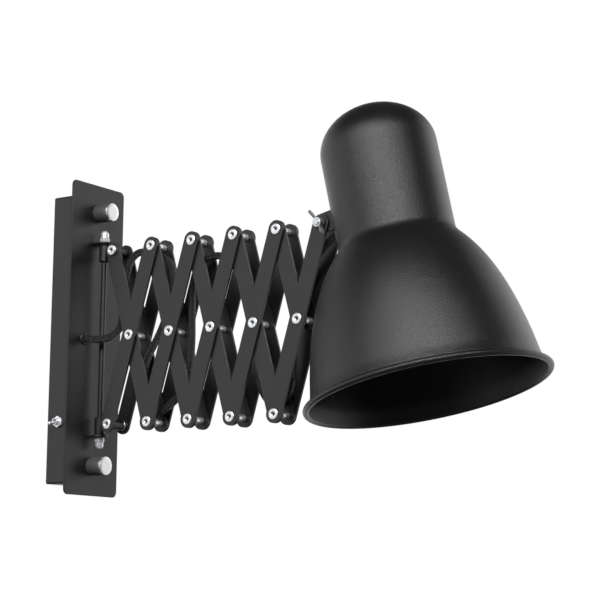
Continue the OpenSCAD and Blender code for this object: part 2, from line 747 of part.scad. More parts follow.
module head_screws() {
    inside = strap_y - strap_t;
    outside = -tilt_gap + yoke_t;
    color(zinc) head_frame() for (z = [top_screw_z, low_screw_z]) translate([0, 0, z])
        rotate([-90, 0, 0]) {
        translate([0, 0, inside - screw_head_t]) cylinder(d = screw_head_d, h = screw_head_t);
        translate([0, 0, inside]) cylinder(d = screw_d, h = outside + screw_nut_t + screw_tip - inside);
        translate([0, 0, outside]) hex(screw_nut_af, screw_nut_t);
    }
}
module cable_bush() {
    outside = -tilt_gap + yoke_t;
    back = strap_y - strap_t - bush_tail;
    color(black) head_frame() translate([0, 0, cable_hole_z]) rotate([-90, 0, 0]) difference() {
        union() {
            translate([0, 0, outside]) cylinder(d = bush_collar_d, h = bush_collar_t);
            translate([0, 0, back]) cylinder(d = bush_d, h = outside + bush_collar_t - back);
        }
        translate([0, 0, back - cut])
            cylinder(d = cable_d + 2 * bush_fit, h = outside + bush_collar_t - back + 2 * cut);
    }
}

// The cable's route as [x, y, z], chosen by hand: out of the plate, round the rod, through the arm
// and into the neck
cable_route = [
    [-14.5, -12, -1.5], [-14.5, -24, -1.5], [-14.3, -28.5, -2.2], [-13.4, -32.9, -2.8], [-11, -37, -3],
    [-8, -40, -2.2], [-5, -43.3, -0.5], [-2.5, -46.8, 2.2], [0, -50.9, 8.5], [0, -53, 18], [0, -54.8, 34],
    [0, -56.5, 50], [0, -58.7, 61.1], [0, -62.6, 68.9], [0, -69.2, 73.2], [0, -77, 73.5], [0, -85, 70.8],
    [0, -93, 67.8], [0, -100, 65], [0, -105.5, 60], [0, -108.6, 52], [0, -108.6, 38], [0, -105, 20],
    [0, -98.1, 4], [0, -89.6, -10.4], [0, -83, -21], [0, -79, -34], [0, -77, -47], [0, -77.9, -58],
    [0, -82.1, -66.2], [0, -88.9, -70.4], [0, -96.5, -70.4], [0, -104, -66.5], [0, -114, -60.5],
    [0, -121.8, -53.5], [0, -127, -43], [0, -130, -28], [0, -131.2, -8], [0, -130.8, 14], [0, -131, 34],
    [0, -134, 49], [0, -140.5, 58], [0, -149.5, 61.8], [0, -160, 61.8], [0, -169, 58], [0, -178, 49],
    [0, -184.5, 35], [0, -189.5, 16], [0, -194.5, -4], [0, -201, -24], [0, -204.1, -41.9],
    [0, -205.7, -54.2], [0, -211.7, -64.1], [0, -220.7, -67.5], [0, -229.8, -64.4], [0, -235.5, -55.3],
    [0, -236.7, -39.9], [0, -238.4, -16], [0, -241.6, 8], [0, -246.6, 26], [0, -253.1, 41],
    [0, -261, 52.5], [0, -269.1, 60.9], [0, -277, 65.7], [0, -285.3, 67.9], [0, -293, 69.7],
    [1.2, -299.1, 72.4], [4.5, -304.2, 78.5], [9, -306.6, 88.7], [14, -306.3, 103.1], [17.7, -304.2, 119],
    [19.5, -301.3, 127.9], [20, -298.6, 138.1], [16, -300.4, 147.3], [9.5, -306.2, 151.5],
    [3.1, -313.1, 149], [0, -318.1, 141.6], [0, -319.4, 135.9]];
cable_sides = 8;
// A tangent whose share along x is over this takes its rings' side from z
steep = 0.75;
// A round tube along points, whose rings stay upright to the route
function unit(v) = v / norm(v);
function way(p, i) = unit(p[min(i + 1, len(p) - 1)] - p[max(i - 1, 0)]);
module sweep(p, d, sides) {
    n = len(p);
    side = [1, 0, 0];
    rings = [for (i = [0:n - 1]) let (
        t = way(p, i), a = unit(cross(t, abs(t[0]) > steep ? [0, 0, 1] : side)), b = cross(a, t))
        for (k = [0:sides - 1]) p[i] + d / 2 * (cos(360 * k / sides) * a + sin(360 * k / sides) * b)];
    walls = [for (i = [0:n - 2], k = [0:sides - 1]) let (m = (k + 1) % sides)
        [i * sides + k, i * sides + m, (i + 1) * sides + m, (i + 1) * sides + k]];
    first_end = [for (k = [sides - 1:-1:0]) k];
    last_end = [for (k = [0:sides - 1]) (n - 1) * sides + k];
    polyhedron(rings, concat([first_end], walls, [last_end]));
}
module cable() { color(black) sweep(cable_route, cable_d, cable_sides); }

wall_bracket();
bracket_studs();
wall_box();
face_plate();
rod_ears();
pivot_rod();
acorn_nuts();
rod_washers();
cap_nuts();
cap_faces();
cable_grommet();
terminal_block();
terminal_screws();
switch_body();
switch_bush();
switch_nut();
switch_lever();
lower_sleeve();
bottom_rivet();
upper_sleeve();
top_rivet();
for (i = [0:cells - 1]) {
    rise_front(i);
    rise_rear(i);
    fall_front(i);
    fall_rear(i);
    fall_pins(i);
}
shade();
head_bracket();
tilt_bolt();
tilt_washers();
wing_nut();
holder_strap();
holder_body();
holder_thread();
holder_nipple();
head_screws();
cable_bush();
cable();
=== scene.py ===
import bpy
import math
from mathutils import Matrix, Vector


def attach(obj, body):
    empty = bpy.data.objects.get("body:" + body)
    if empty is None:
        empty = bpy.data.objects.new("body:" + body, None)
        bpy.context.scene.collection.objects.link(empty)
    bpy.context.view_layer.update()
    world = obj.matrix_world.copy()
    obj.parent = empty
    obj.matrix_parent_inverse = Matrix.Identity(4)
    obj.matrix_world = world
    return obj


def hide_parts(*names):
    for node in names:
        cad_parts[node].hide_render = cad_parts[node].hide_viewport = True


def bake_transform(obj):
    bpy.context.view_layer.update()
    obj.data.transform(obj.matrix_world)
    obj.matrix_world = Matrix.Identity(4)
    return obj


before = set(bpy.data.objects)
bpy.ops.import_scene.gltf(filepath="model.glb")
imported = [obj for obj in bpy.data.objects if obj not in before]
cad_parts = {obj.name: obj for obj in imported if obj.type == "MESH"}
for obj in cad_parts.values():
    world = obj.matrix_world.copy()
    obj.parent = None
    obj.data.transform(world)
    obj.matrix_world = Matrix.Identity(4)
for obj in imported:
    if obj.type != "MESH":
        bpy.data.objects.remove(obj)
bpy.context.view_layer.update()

mm = 0.001
weld = 0.000001  # points closer than this, in metres, are merged
print("frame loaded")

# camera, solved from the pivots and the plate's corners; degrees and metres, lens and sensor in mm
shot = {"azimuth": -55.493, "elevation": -9.353, "roll": 0.577, "distance": 1.81845,
        "aim": (0.267236, -0.06, 0.069773), "lens": 108.036, "sensor": 36, "clip": (0.05, 20)}
az, el, roll = (math.radians(shot[key]) for key in ("azimuth", "elevation", "roll"))
towards = Vector((math.sin(az) * math.cos(el), -math.cos(az) * math.cos(el), math.sin(el)))
turn = Matrix.Rotation(az, 4, "Z") @ Matrix.Rotation(math.pi / 2 - el, 4, "X") @ Matrix.Rotation(roll, 4, "Z")
camera = bpy.data.objects.new("camera", bpy.data.cameras.new("camera"))
bpy.context.scene.collection.objects.link(camera)
camera.matrix_world = Matrix.Translation(Vector(shot["aim"]) + towards * shot["distance"]) @ turn
camera.data.lens = shot["lens"]
camera.data.sensor_width = shot["sensor"]
camera.data.clip_start, camera.data.clip_end = shot["clip"]
bpy.context.scene.camera = camera


# shader maths: a wrapped socket that can be added, multiplied and so on
class Wire:
    def __init__(self, finish, socket):
        self.finish, self.socket = finish, socket

    def maths(self, operation, a, b=0.0):
        return self.finish.node("ShaderNodeMath", {"operation": operation}, {0: a, 1: b})

    def __add__(self, other):
        return self.maths("ADD", self, other)

    def __radd__(self, other):
        return self.maths("ADD", other, self)

    def __sub__(self, other):
        return self.maths("SUBTRACT", self, other)

    def __rsub__(self, other):
        return self.maths("SUBTRACT", other, self)

    def __mul__(self, other):
        return self.maths("MULTIPLY", self, other)

    def __rmul__(self, other):
        return self.maths("MULTIPLY", other, self)

    def __truediv__(self, other):
        return self.maths("DIVIDE", self, other)

    def __rtruediv__(self, other):
        return self.maths("DIVIDE", other, self)

    def sine(self):
        return self.maths("SINE", self)

    def size(self):
        return self.maths("ABSOLUTE", self)

    def above(self, other):
        return self.maths("GREATER_THAN", self, other)

    def least(self, other):
        return self.maths("MINIMUM", self, other)

    def most(self, other):
        return self.maths("MAXIMUM", self, other)

    def between(self, low, high):
        # 0 at low and 1 at high
        return ((self - low) / (high - low)).least(1.0).most(0.0)


class Finish:
    def __init__(self, name, owner=None):
        self.material = owner or bpy.data.materials.new(name)
        self.material.use_nodes = True
        self.tree = self.material.node_tree
        self.shader = next(n for n in self.tree.nodes if n.type in ("BSDF_PRINCIPLED", "BACKGROUND"))

    def node(self, kind, settings=None, values=None, out=0):
        node = self.tree.nodes.new(kind)
        for key, value in (settings or {}).items():
            if key == "stops":
                while len(node.color_ramp.elements) < len(value):
                    node.color_ramp.elements.new(0.5)
                for stop, (at, grey) in zip(node.color_ramp.elements, value):
                    stop.position, stop.color = at, (grey, grey, grey, 1)
            else:
                setattr(node, key, value)
        for key, value in (values or {}).items():
            if isinstance(value, Wire):
                self.tree.links.new(value.socket, node.inputs[key])
            else:
                node.inputs[key].default_value = value
        return Wire(self, node.outputs[out])

    def point(self, stretch=(1, 1, 1)):
        where = self.node("ShaderNodeTexCoord", out="Object")
        return self.stretched(where, stretch)

    def stretched(self, where, stretch):
        return self.node("ShaderNodeMapping", None, {"Vector": where, "Scale": stretch})

    def noise(self, where, scale, detail=2.0, rough=0.5):
        return self.node("ShaderNodeTexNoise", None,
                         {"Vector": where, "Scale": scale, "Detail": detail, "Roughness": rough})

    def pebbles(self, where, scale):
        return self.node("ShaderNodeTexVoronoi", None, {"Vector": where, "Scale": scale}, out="Distance")

    def blend(self, share, first, second):
        # the two colours are three numbers each, or a wire
        first, second = (c if isinstance(c, Wire) else (*c, 1) for c in (first, second))
        return self.node("ShaderNodeMix", {"data_type": "RGBA"}, {0: share, 6: first, 7: second}, out=2)

    def ramp(self, value, stops):
        return self.node("ShaderNodeValToRGB", {"stops": stops}, {0: value})

    def bump(self, height, distance, strength=1.0):
        normal = self.node("ShaderNodeBump", None,
                           {"Height": height, "Distance": distance, "Strength": strength})
        self.link("Normal", normal)

    def link(self, socket, value):
        if isinstance(value, Wire):
            self.tree.links.new(value.socket, self.shader.inputs[socket])
        else:
            self.shader.inputs[socket].default_value = value


# finishes run from a dark to a light colour, and rough is the middle of their roughness;
# scales are per metre, and depths in metres
def powderCoat(name, dark, light, rough, grain, depth):
    # a fine pebbled grain with soft clouds and a few pale specks
    f = Finish(name)
    where = f.point()
    fine = f.pebbles(where, grain)
    cloud = f.noise(where, scale=18, detail=3.0)
    dots = f.noise(where, scale=grain * 2.2, detail=1.0)
    speck = f.ramp(dots, stops=[(0.0, 0.0), (0.62, 0.0), (0.78, 1.0)])
    f.link("Base Color", f.blend(fine * 0.5 + cloud * 0.3 + speck * 0.25, dark, light))
    f.link("Roughness", fine * 0.16 + cloud * 0.06 + (rough - 0.11))
    f.bump(fine * 0.8 + speck * 0.2, depth, strength=0.6)
    return f.material


def plated(name, dark, light, rough, scale, metal=1.0, stretch=(1, 1, 1)):
    # bright metal with faint clouds; a stretch turns its grain into brushed lines
    f = Finish(name)
    lines = f.noise(f.point(stretch), scale, detail=3.0, rough=0.6)
    cloud = f.noise(f.point(), scale=60)
    f.link("Base Color", f.blend(lines * 0.6 + cloud * 0.4, dark, light))
    f.link("Roughness", lines * 0.14 + cloud * 0.08 + (rough - 0.1))
    f.link("Metallic", metal)
    f.bump(lines, distance=0.00003, strength=0.4)
    return f.material


def moulded(name, dark, light, rough, scale=500, depth=0.00004):
    # plastic or enamel with a fine skin
    f = Finish(name)
    where = f.point()
    skin = f.noise(where, scale)
    cloud = f.noise(where, scale=25)
    f.link("Base Color", f.blend(skin * 0.4 + cloud * 0.6, dark, light))
    f.link("Roughness", skin * 0.12 + cloud * 0.08 + (rough - 0.1))
    f.bump(skin, depth, strength=0.5)
    return f.material


def braid(name, dark, light, strands, slope, depth):
    # two families of yarns that cross; the map's u and v are both counted in turns round the cable
    f = Finish(name)
    uv = f.node("ShaderNodeUVMap", {"uv_map": "lay"})
    u = f.node("ShaderNodeSeparateXYZ", None, {0: uv})
    v = Wire(f, u.socket.node.outputs[1])
    lean = (u + v * slope) * (strands * math.pi)
    back = (u - v * slope) * (strands * math.pi)
    one, two = lean.sine().size(), back.sine().size()
    top = ((lean * 0.5).sine() * (back * 0.5).sine()).above(0.0)
    height = top * one + (1 - top) * two
    thread = f.noise(f.stretched(uv, (60, 60, 60)), scale=4.0)
    cloud = f.noise(f.point(), scale=90)
    # the base colour follows the yarns' height: lighter on the crowns and darker where the yarns sink,
    # painted shade in the grooves between the yarns
    f.link("Base Color", f.blend(height * 0.65 + thread * 0.25 + cloud * 0.1, dark, light))
    f.link("Roughness", thread * 0.2 + 0.26)
    f.bump(height * 0.85 + thread * 0.15, depth)
    return f.material


blackPaint = powderCoat("blackPaint", (0.005, 0.0051, 0.0055), (0.018, 0.0184, 0.0192),
                        rough=0.40, grain=1000, depth=0.0001)
shadePaint = powderCoat("shadePaint", (0.003, 0.0031, 0.0034), (0.0100, 0.0102, 0.0109),
                        rough=0.33, grain=1250, depth=0.00036)
capEnamel = moulded("capEnamel", (0.066, 0.066, 0.068), (0.100, 0.100, 0.104),
                    rough=0.27, scale=1700, depth=0.000008)
blackPlastic = moulded("blackPlastic", (0.010, 0.010, 0.010), (0.022, 0.022, 0.022), rough=0.5)
whitePlastic = moulded("whitePlastic", (0.74, 0.73, 0.70), (0.84, 0.83, 0.81), rough=0.3)
zincPlate = plated("zincPlate", (0.42, 0.43, 0.45), (0.82, 0.83, 0.86), rough=0.3, scale=420, metal=0.85)
chromePlate = plated("chromePlate", (0.80, 0.81, 0.83), (0.95, 0.96, 0.98), rough=0.22, scale=240, metal=0.55)
spacerZinc = plated("spacerZinc", (0.80, 0.81, 0.83), (0.95, 0.96, 0.98), rough=0.25, scale=300, metal=0.6)
nickelPlate = plated("nickelPlate", (0.66, 0.67, 0.69), (0.90, 0.91, 0.93), rough=0.33, scale=360, metal=0.85)
faceMetal = plated("faceMetal", (0.66, 0.66, 0.67), (0.86, 0.86, 0.87),
                   rough=0.36, scale=160, stretch=(1, 1, 9))
brassMetal = plated("brassMetal", (0.48, 0.34, 0.13), (0.80, 0.62, 0.30), rough=0.28, scale=260)
blackBraid = braid("blackBraid", (0.003, 0.003, 0.0035), (0.040, 0.040, 0.043),
                   strands=16, slope=0.62, depth=0.0008)
print("finishes made")

# cable: the route's points in mm, as in the part; and for each stretch the two bodies that it bends
# between, its first and last point of the route, and where its bend starts and ends
cable = {"width": 6.5, "sides": 28, "step": 1.6, "route": [
    (-14.5, -12, -1.5), (-14.5, -24, -1.5), (-14.3, -28.5, -2.2), (-13.4, -32.9, -2.8), (-11, -37, -3),
    (-8, -40, -2.2), (-5, -43.3, -0.5), (-2.5, -46.8, 2.2), (0, -50.9, 8.5), (0, -53, 18), (0, -54.8, 34),
    (0, -56.5, 50), (0, -58.7, 61.1), (0, -62.6, 68.9), (0, -69.2, 73.2), (0, -77, 73.5), (0, -85, 70.8),
    (0, -93, 67.8), (0, -100, 65), (0, -105.5, 60), (0, -108.6, 52), (0, -108.6, 38), (0, -105, 20),
    (0, -98.1, 4), (0, -89.6, -10.4), (0, -83, -21), (0, -79, -34), (0, -77, -47), (0, -77.9, -58),
    (0, -82.1, -66.2), (0, -88.9, -70.4), (0, -96.5, -70.4), (0, -104, -66.5), (0, -114, -60.5),
    (0, -121.8, -53.5), (0, -127, -43), (0, -130, -28), (0, -131.2, -8), (0, -130.8, 14), (0, -131, 34),
    (0, -134, 49), (0, -140.5, 58), (0, -149.5, 61.8), (0, -160, 61.8), (0, -169, 58), (0, -178, 49),
    (0, -184.5, 35), (0, -189.5, 16), (0, -194.5, -4), (0, -201, -24), (0, -204.1, -41.9),
    (0, -205.7, -54.2), (0, -211.7, -64.1), (0, -220.7, -67.5), (0, -229.8, -64.4), (0, -235.5, -55.3),
    (0, -236.7, -39.9), (0, -238.4, -16), (0, -241.6, 8), (0, -246.6, 26), (0, -253.1, 41),
    (0, -261, 52.5), (0, -269.1, 60.9), (0, -277, 65.7), (0, -285.3, 67.9), (0, -293, 69.7),
    (1.2, -299.1, 72.4), (4.5, -304.2, 78.5), (9, -306.6, 88.7), (14, -306.3, 103.1), (17.7, -304.2, 119),
    (19.5, -301.3, 127.9), (20, -298.6, 138.1), (16, -300.4, 147.3), (9.5, -306.2, 151.5),
    (3.1, -313.1, 149), (0, -318.1, 141.6), (0, -319.4, 135.9)],
    "stretches": [
        ("root", "lower_swivel", 0, 9, (-14.3, -28.5, -2.2), (-1, -49, 6)),
        ("lower_swivel", "rise_0", 9, 16, (0, -53.5, 22), (0, -80, 72)),
        ("rise_0", "fall_1", 16, 22, (0, -90, 69), (0, -107, 35)),
        ("fall_1", "rise_1", 22, 31, (0, -103, 14), (0, -84, -66)),
        ("rise_1", "fall_2", 31, 41, (0, -133, 40), (0, -140, 56)),
        ("fall_2", "rise_2", 41, 45, (0, -143, 60), (0, -172, 56)),
        ("rise_2", "fall_3", 45, 48, (0, -179, 47), (0, -192, 6)),
        ("fall_3", "rise_4", 48, 58, (0, -213, -64), (0, -233, -60)),
        ("rise_4", "head", 58, 65, (0, -262, 54), (0, -286, 68)),
        ("head", None, 65, 77, None, None)]}


def smoothLine(points, step):
    # a dense smooth line through the points, and each point's index on it
    p = [Vector(q) for q in points]
    p = [2 * p[0] - p[1]] + p + [2 * p[-1] - p[-2]]
    line, marks = [], []
    for i in range(1, len(p) - 2):
        marks.append(len(line))
        count = max(2, round((p[i + 1] - p[i]).length / step))
        for k in range(count):
            t = k / count
            line.append(0.5 * (2 * p[i] + (p[i + 1] - p[i - 1]) * t
                               + (2 * p[i - 1] - 5 * p[i] + 4 * p[i + 1] - p[i + 2]) * t * t
                               + (3 * p[i] - p[i - 1] - 3 * p[i + 1] + p[i + 2]) * t ** 3))
    marks.append(len(line))
    line.append(p[-2])
    return line, marks


def cableTube(name, span, line, ways, sides, run):
    # a closed tube along part of the line; its UV map is for the braid
    count, r = cable["sides"], cable["width"] / 2
    turns = [length / (2 * math.pi * r) for length in run]
    points, faces, lay = [], [], []
    for i in span:
        across = ways[i].cross(sides[i])
        for k in range(count):
            a = 2 * math.pi * k / count
            points.append((line[i] + r * (math.cos(a) * sides[i] + math.sin(a) * across)) * mm)
    for row, i in enumerate(list(span)[:-1]):
        for k in range(count):
            m = (k + 1) % count
            faces.append((row * count + k, row * count + m, (row + 1) * count + m, (row + 1) * count + k))
            lay += [(k / count, turns[i]), ((k + 1) / count, turns[i]),
                    ((k + 1) / count, turns[i + 1]), (k / count, turns[i + 1])]
    faces += [tuple(reversed(range(count))), tuple(range(len(points) - count, len(points)))]
    lay += [(k / count, turns[span[0]]) for k in reversed(range(count))]
    lay += [(k / count, turns[span[-1]]) for k in range(count)]
    mesh = bpy.data.meshes.new(name)
    mesh.from_pydata(points, [], faces)
    layer = mesh.uv_layers.new(name="lay")
    for loop, value in zip(layer.data, lay):
        loop.uv = value
    mesh.materials.append(blackBraid)
    for polygon in mesh.polygons:
        polygon.use_smooth = len(polygon.vertices) == 4
    piece = bpy.data.objects.new(name, mesh)
    bpy.context.scene.collection.objects.link(piece)
    return piece


def layCable():
    line, marks = smoothLine(cable["route"], cable["step"])
    tip = len(line) - 1
    ways = [(line[min(i + 1, tip)] - line[max(i - 1, 0)]).normalized() for i in range(tip + 1)]
    # each ring's side is handed on along the line, so that the tube doesn't twist
    side = Vector((0, 0, 1)).cross(ways[0]).normalized()
    sides, run = [], [0.0]
    for i, way in enumerate(ways):
        side = (side - way * side.dot(way)).normalized()
        sides.append(side.copy())
        if i:
            run.append(run[-1] + (line[i] - line[i - 1]).length)
    for number, (near, far, first, last, start, end) in enumerate(cable["stretches"]):
        span = range(marks[first], marks[last] + 1)
        piece = cableTube("cable_%d" % number, span, line, ways, sides, run)
        if far:
            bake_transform(piece)
        else:
            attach(piece, near)
        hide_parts("cable")
        line[span[0]] * mm
        [line[i] * mm for i in span]
    print("cable laid, %.0f mm" % run[-1])


layCable()


# modelling helpers; sizes in mm and degrees
def alone(piece):
    bpy.ops.object.select_all(action="DESELECT")
    piece.select_set(True)
    bpy.context.view_layer.objects.active = piece


def settle(piece, at=(0, 0, 0), turn=(0, 0, 0)):
    # moves a finished piece to its place, and puts the place into its mesh
    alone(piece)
    piece.rotation_euler = [math.radians(a) for a in turn]
    piece.location = Vector(at) * mm
    bpy.ops.object.transform_apply(location=True, rotation=True, scale=True)
    return piece


def smooth(piece, angle=35):
    alone(piece)
    bpy.ops.object.shade_smooth_by_angle(angle=math.radians(angle))
    return piece


def soften(piece, width, segments=2, angle=40):
    alone(piece)
    modifier = piece.modifiers.new("edge", "BEVEL")
    modifier.width, modifier.segments = width * mm, segments
    modifier.limit_method, modifier.angle_limit = "ANGLE", math.radians(angle)
    bpy.ops.object.modifier_apply(modifier="edge")
    smooth(piece)
    # flat faces stay flat up to the softened edge
    piece.modifiers.new("flat", "WEIGHTED_NORMAL").keep_sharp = True
    bpy.ops.object.modifier_apply(modifier="flat")
    return piece


def join(name, *pieces):
    alone(pieces[0])
    for piece in pieces[1:]:
        piece.select_set(True)
    bpy.ops.object.join()
    pieces[0].name = name
    return pieces[0]


def again(piece, name):
    alone(piece)
    bpy.ops.object.duplicate(linked=False)
    twin = bpy.context.object
    twin.name = name
    return twin


def turnedRings(name, rings, steps=40, loop=False):
    # a ring at the first (radius, height) that is extruded from ring to ring, about z
    bpy.ops.object.select_all(action="DESELECT")
    r, h = rings[0]
    bpy.ops.mesh.primitive_circle_add(vertices=steps, radius=r * mm, location=(0, 0, 0))
    piece = bpy.context.object
    piece.name = name
    bpy.ops.object.mode_set(mode="EDIT")
    bpy.ops.mesh.select_mode(type="VERT")
    bpy.ops.mesh.select_all(action="SELECT")
    bpy.ops.transform.translate(value=(0, 0, h * mm))
    for nextR, nextH in (rings[1:] + [rings[0]] if loop else rings[1:]):
        bpy.ops.mesh.extrude_region_move(TRANSFORM_OT_translate={"value": (0, 0, (nextH - h) * mm)})
        bpy.ops.transform.resize(value=(nextR / r, nextR / r, 1), center_override=(0, 0, nextH * mm))
        r, h = nextR, nextH
    bpy.ops.mesh.select_all(action="SELECT")
    bpy.ops.mesh.remove_doubles(threshold=weld)
    if not loop:
        bpy.ops.mesh.fill_holes(sides=0)
    bpy.ops.mesh.select_all(action="SELECT")
    bpy.ops.mesh.normals_make_consistent(inside=False)
    bpy.ops.object.mode_set(mode="OBJECT")
    return smooth(piece)


def tubeRings(bore, r, low, high, edge, boreEdge=0):
    # the rings of a tube whose edges are broken outside and, if asked for, in the bore
    foot, top = [(bore, low)], [(bore, high)]
    if boreEdge:
        foot = [(bore, low + boreEdge), (bore + boreEdge, low)]
        top = [(bore + boreEdge, high), (bore, high - boreEdge)]
    return foot + [(r - edge, low), (r, low + edge), (r, high - edge), (r - edge, high)] + top


def block(name, low, high):
    bpy.ops.object.select_all(action="DESELECT")
    middle = [(a + b) / 2 * mm for a, b in zip(low, high)]
    bpy.ops.mesh.primitive_cube_add(size=1, location=middle)
    piece = bpy.context.object
    piece.name = name
    piece.scale = [(b - a) * mm for a, b in zip(low, high)]
    bpy.ops.object.transform_apply(location=True, rotation=True, scale=True)
    return piece


def roundCorners(piece, along, radius, segments, test=None):
    # bevels the edges that run along one axis, 0 for x, 1 for y and 2 for z
    alone(piece)
    bpy.ops.object.mode_set(mode="EDIT")
    bpy.ops.mesh.select_mode(type="EDGE")
    bpy.ops.mesh.select_all(action="DESELECT")
    bpy.ops.object.mode_set(mode="OBJECT")
    points = piece.data.vertices
    for edge in piece.data.edges:
        a, b = (points[i].co for i in edge.vertices)
        way = (b - a).normalized()
        if abs(way[along]) > 0.999 and (test is None or test((a + b) / 2 / mm)):
            edge.select = True
    bpy.ops.object.mode_set(mode="EDIT")
    bpy.ops.mesh.bevel(offset=radius * mm, segments=segments, affect="EDGES")
    bpy.ops.mesh.select_all(action="SELECT")
    bpy.ops.mesh.remove_doubles(threshold=2 * weld)
    bpy.ops.object.mode_set(mode="OBJECT")
    return piece


def pickFaces(piece, test):
    # in edit mode, selects the faces whose normal passes the test
    bpy.ops.mesh.select_all(action="DESELECT")
    bpy.ops.object.mode_set(mode="OBJECT")
    for polygon in piece.data.polygons:
        polygon.select = test(polygon.normal)
    bpy.ops.object.mode_set(mode="EDIT")


def fromNode(node, width):
    # a merged copy of a CAD node whose edges are then softened
    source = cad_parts[node]
    piece = bpy.data.objects.new(node + "_soft", source.data.copy())
    bpy.context.scene.collection.objects.link(piece)
    piece.data.materials.clear()
    alone(piece)
    bpy.ops.object.mode_set(mode="EDIT")
    bpy.ops.mesh.select_all(action="SELECT")
    bpy.ops.mesh.remove_doubles(threshold=weld)
    bpy.ops.mesh.dissolve_limited(angle_limit=math.radians(1))
    bpy.ops.object.mode_set(mode="OBJECT")
    return soften(piece, width)


def mount(piece, body, node, finish):
    piece.data.materials.clear()
    piece.data.materials.append(finish)
    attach(piece, body)
    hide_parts(node)
    return piece


# where things are: the arm's pivots and the head's frame
arm = {"pitch": 161.0, "angle": 16.1, "rodY": -30.0, "first": 17.8, "middle": -1.0, "cells": 5,
       "width": 15.0, "thick": 2.0, "inner": 7.5, "outer": 9.6, "rivetAt": 11.7, "edge": 0.5}
rise = arm["pitch"] * math.cos(math.radians(arm["angle"]))
stride = arm["pitch"] * math.sin(math.radians(arm["angle"]))
topZ, lowZ = arm["middle"] + rise / 2, arm["middle"] - rise / 2


def pivotY(i):
    return arm["rodY"] - arm["first"] - i * stride


headAt = (0, pivotY(arm["cells"]), topZ)
headTilt = 13.1

# face plate, and the wall box behind it
plate = {"w": 70, "h": 280, "t": 1.5, "corner": 5, "back": -20, "edge": 0.35}
boxFacts = {"w": 70, "h": 256, "d": 20, "lip": 7, "wall": 1.2, "drop": 3, "corner": 2, "edge": 0.3}


def makeFacePlate():
    f = plate
    low = (-f["w"] / 2, f["back"] - f["t"], -f["h"] / 2)
    high = (f["w"] / 2, f["back"], f["h"] / 2)
    piece = block("face_plate_sheet", low, high)
    roundCorners(piece, along=1, radius=f["corner"], segments=12)
    soften(piece, f["edge"], segments=3, angle=50)
    mount(piece, "root", "face_plate", blackPaint)


def makeWallBox():
    # open at the back, with a lip round its front
    f = boxFacts
    low = (-f["w"] / 2, -f["d"], -f["h"] / 2 - f["drop"])
    high = (f["w"] / 2, 0, f["h"] / 2 - f["drop"])
    piece = block("wall_box_sheet", low, high)
    roundCorners(piece, along=1, radius=f["corner"], segments=6)
    alone(piece)
    bpy.ops.object.mode_set(mode="EDIT")
    bpy.ops.mesh.select_mode(type="FACE")
    pickFaces(piece, lambda normal: normal.y > 0.9)
    bpy.ops.mesh.delete(type="FACE")
    pickFaces(piece, lambda normal: normal.y < -0.9)
    bpy.ops.mesh.inset(thickness=f["lip"] * mm, depth=0)
    bpy.ops.mesh.delete(type="FACE")
    bpy.ops.object.mode_set(mode="OBJECT")
    sheet = piece.modifiers.new("sheet", "SOLIDIFY")
    sheet.thickness, sheet.offset = f["wall"] * mm, -1
    alone(piece)
    bpy.ops.object.modifier_apply(modifier="sheet")
    soften(piece, f["edge"], angle=50)
    mount(piece, "root", "wall_box", blackPaint)


makeFacePlate()
makeWallBox()

# cap nuts: black barrels with bright faces
cap = {"pitch": 228, "d": 16.5, "length": 17, "faceD": 16.2, "faceT": 2.0, "steps": 64}
plateFace = plate["back"] - plate["t"]


def makeCaps():
    f = cap
    r, rim, t = f["d"] / 2, f["faceD"] / 2, f["faceT"]
    l = f["length"] - t
    barrelRings = [(r - 0.9, 0), (r - 0.25, 0.12), (r, 0.7), (r, l - 0.7), (r - 0.2, l - 0.25), (r - 0.6, l)]
    faceRings = [(rim, 0), (rim, t - 0.3), (rim - 0.1, t - 0.1), (rim - 0.3, t)]
    faceRings += [(rim * 0.6, t), (rim * 0.2, t)]
    barrels, faces = [], []
    for z in (-f["pitch"] / 2, f["pitch"] / 2):
        barrel = turnedRings("cap_barrel", barrelRings, f["steps"])
        barrels.append(settle(barrel, (0, plateFace, z), (90, 0, 0)))
        face = turnedRings("cap_face", faceRings, f["steps"])
        faces.append(settle(face, (0, plateFace - l, z), (90, 0, 0)))
    mount(join("cap_barrels", *barrels), "root", "cap_nuts", capEnamel)
    mount(join("cap_bright_faces", *faces), "root", "cap_faces", faceMetal)


makeCaps()

# pivot rod with its ears, nuts, washers and sleeves
rod = {"d": 5, "tip": 7.5, "earW": 15, "earT": 1.5, "earFoot": 12, "earEdge": 0.25,
       "washerD": 11, "washerT": 1.2, "washerPlay": 0.2,
       "sleeveD": 9.5, "sleeveH": 14.5, "sleevePlay": 0.05, "sleeveEdge": 0.4, "play": 0.2, "barrelPlay": 0.1,
       "web": 7, "webInto": 1, "webEdge": 0.6,
       "acornAf": 8, "acornHex": 4.4, "acornD": 7.2, "acornH": 11}
earReach = rod["sleeveH"] / 2 + rod["play"] + rod["washerT"]
topEar, lowEar = topZ + earReach, lowZ - earReach


def makeRod():
    f = rod
    r = f["d"] / 2
    low, high = lowEar - f["earT"] - f["tip"], topEar + f["earT"] + f["tip"]
    rings = [(r - 0.5, low), (r, low + 0.5), (r, high - 0.5), (r - 0.5, high)]
    piece = turnedRings("pivot_rod_bar", rings, steps=32)
    settle(piece, (0, arm["rodY"], 0))
    mount(piece, "root", "pivot_rod", blackPaint)


